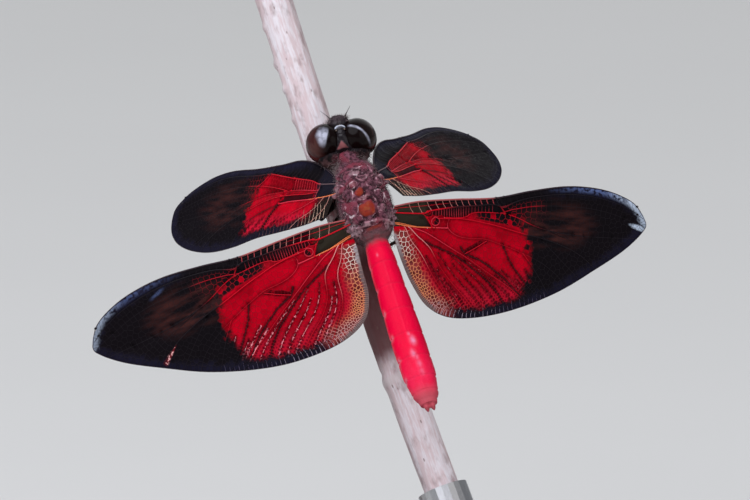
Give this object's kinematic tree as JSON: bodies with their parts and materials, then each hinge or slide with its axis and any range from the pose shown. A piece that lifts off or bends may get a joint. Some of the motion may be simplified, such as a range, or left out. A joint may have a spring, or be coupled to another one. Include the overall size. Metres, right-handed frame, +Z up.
{
  "type": "dragonfly",
  "caption": "Life-size still model of a small black-and-red dragonfly clinging to a steep plant stem, held by a rod on a flat round display base.",
  "frame": {"origin": "centre of the underside of the round display base, on the table", "axes": "+Z up; the animal's back faces -Y, its head is up and its right side towards +X"},
  "size_m": [0.0521, 0.052, 0.0556],
  "materials": {
    "head_cuticle": "glossy black cuticle with short hairs",
    "eye": "very glossy dark brown compound eye",
    "thorax_cuticle": "rough dusty purple cuticle with fine grey hair",
    "abdomen_cuticle": "satin crimson cuticle",
    "abdomen_tip": "dull salmon cuticle",
    "wing_membrane": "thin veined membrane, ruby at the base and black beyond",
    "leg_cuticle": "black cuticle with fine spines",
    "stem_bark": "pale streaked dry bark",
    "stand_wood": "dark stained wood, satin",
    "stand_steel": "satin steel"
  },
  "bodies": {
    "root": {"head": "head_cuticle", "frons": "head_cuticle", "mouthparts": "head_cuticle", "antenna_left": "head_cuticle", "antenna_right": "head_cuticle", "eye_left": "eye", "eye_right": "eye", "prothorax": "thorax_cuticle", "thorax": "thorax_cuticle", "abdomen_1": "abdomen_cuticle", "abdomen_2": "abdomen_cuticle", "abdomen_3": "abdomen_cuticle", "abdomen_4": "abdomen_cuticle", "abdomen_5": "abdomen_cuticle", "abdomen_6": "abdomen_cuticle", "abdomen_7": "abdomen_cuticle", "abdomen_8": "abdomen_cuticle", "abdomen_9": "abdomen_tip", "abdomen_10": "abdomen_tip", "cercus_left": "abdomen_tip", "cercus_right": "abdomen_tip", "wing_fore_left": "wing_membrane", "wing_fore_right": "wing_membrane", "wing_hind_left": "wing_membrane", "wing_hind_right": "wing_membrane", "leg_fore_left_femur": "leg_cuticle", "leg_fore_left_tibia": "leg_cuticle", "leg_fore_left_tarsus": "leg_cuticle", "leg_fore_right_femur": "leg_cuticle", "leg_fore_right_tibia": "leg_cuticle", "leg_fore_right_tarsus": "leg_cuticle", "leg_mid_left_femur": "leg_cuticle", "leg_mid_left_tibia": "leg_cuticle", "leg_mid_left_tarsus": "leg_cuticle", "leg_mid_right_femur": "leg_cuticle", "leg_mid_right_tibia": "leg_cuticle", "leg_mid_right_tarsus": "leg_cuticle", "leg_hind_left_femur": "leg_cuticle", "leg_hind_left_tibia": "leg_cuticle", "leg_hind_left_tarsus": "leg_cuticle", "leg_hind_right_femur": "leg_cuticle", "leg_hind_right_tibia": "leg_cuticle", "leg_hind_right_tarsus": "leg_cuticle", "perch_stem": "stem_bark", "stand_base": "stand_wood", "stand_rod": "stand_steel", "stand_cup": "stand_steel"}
  },
  "joints": []
}
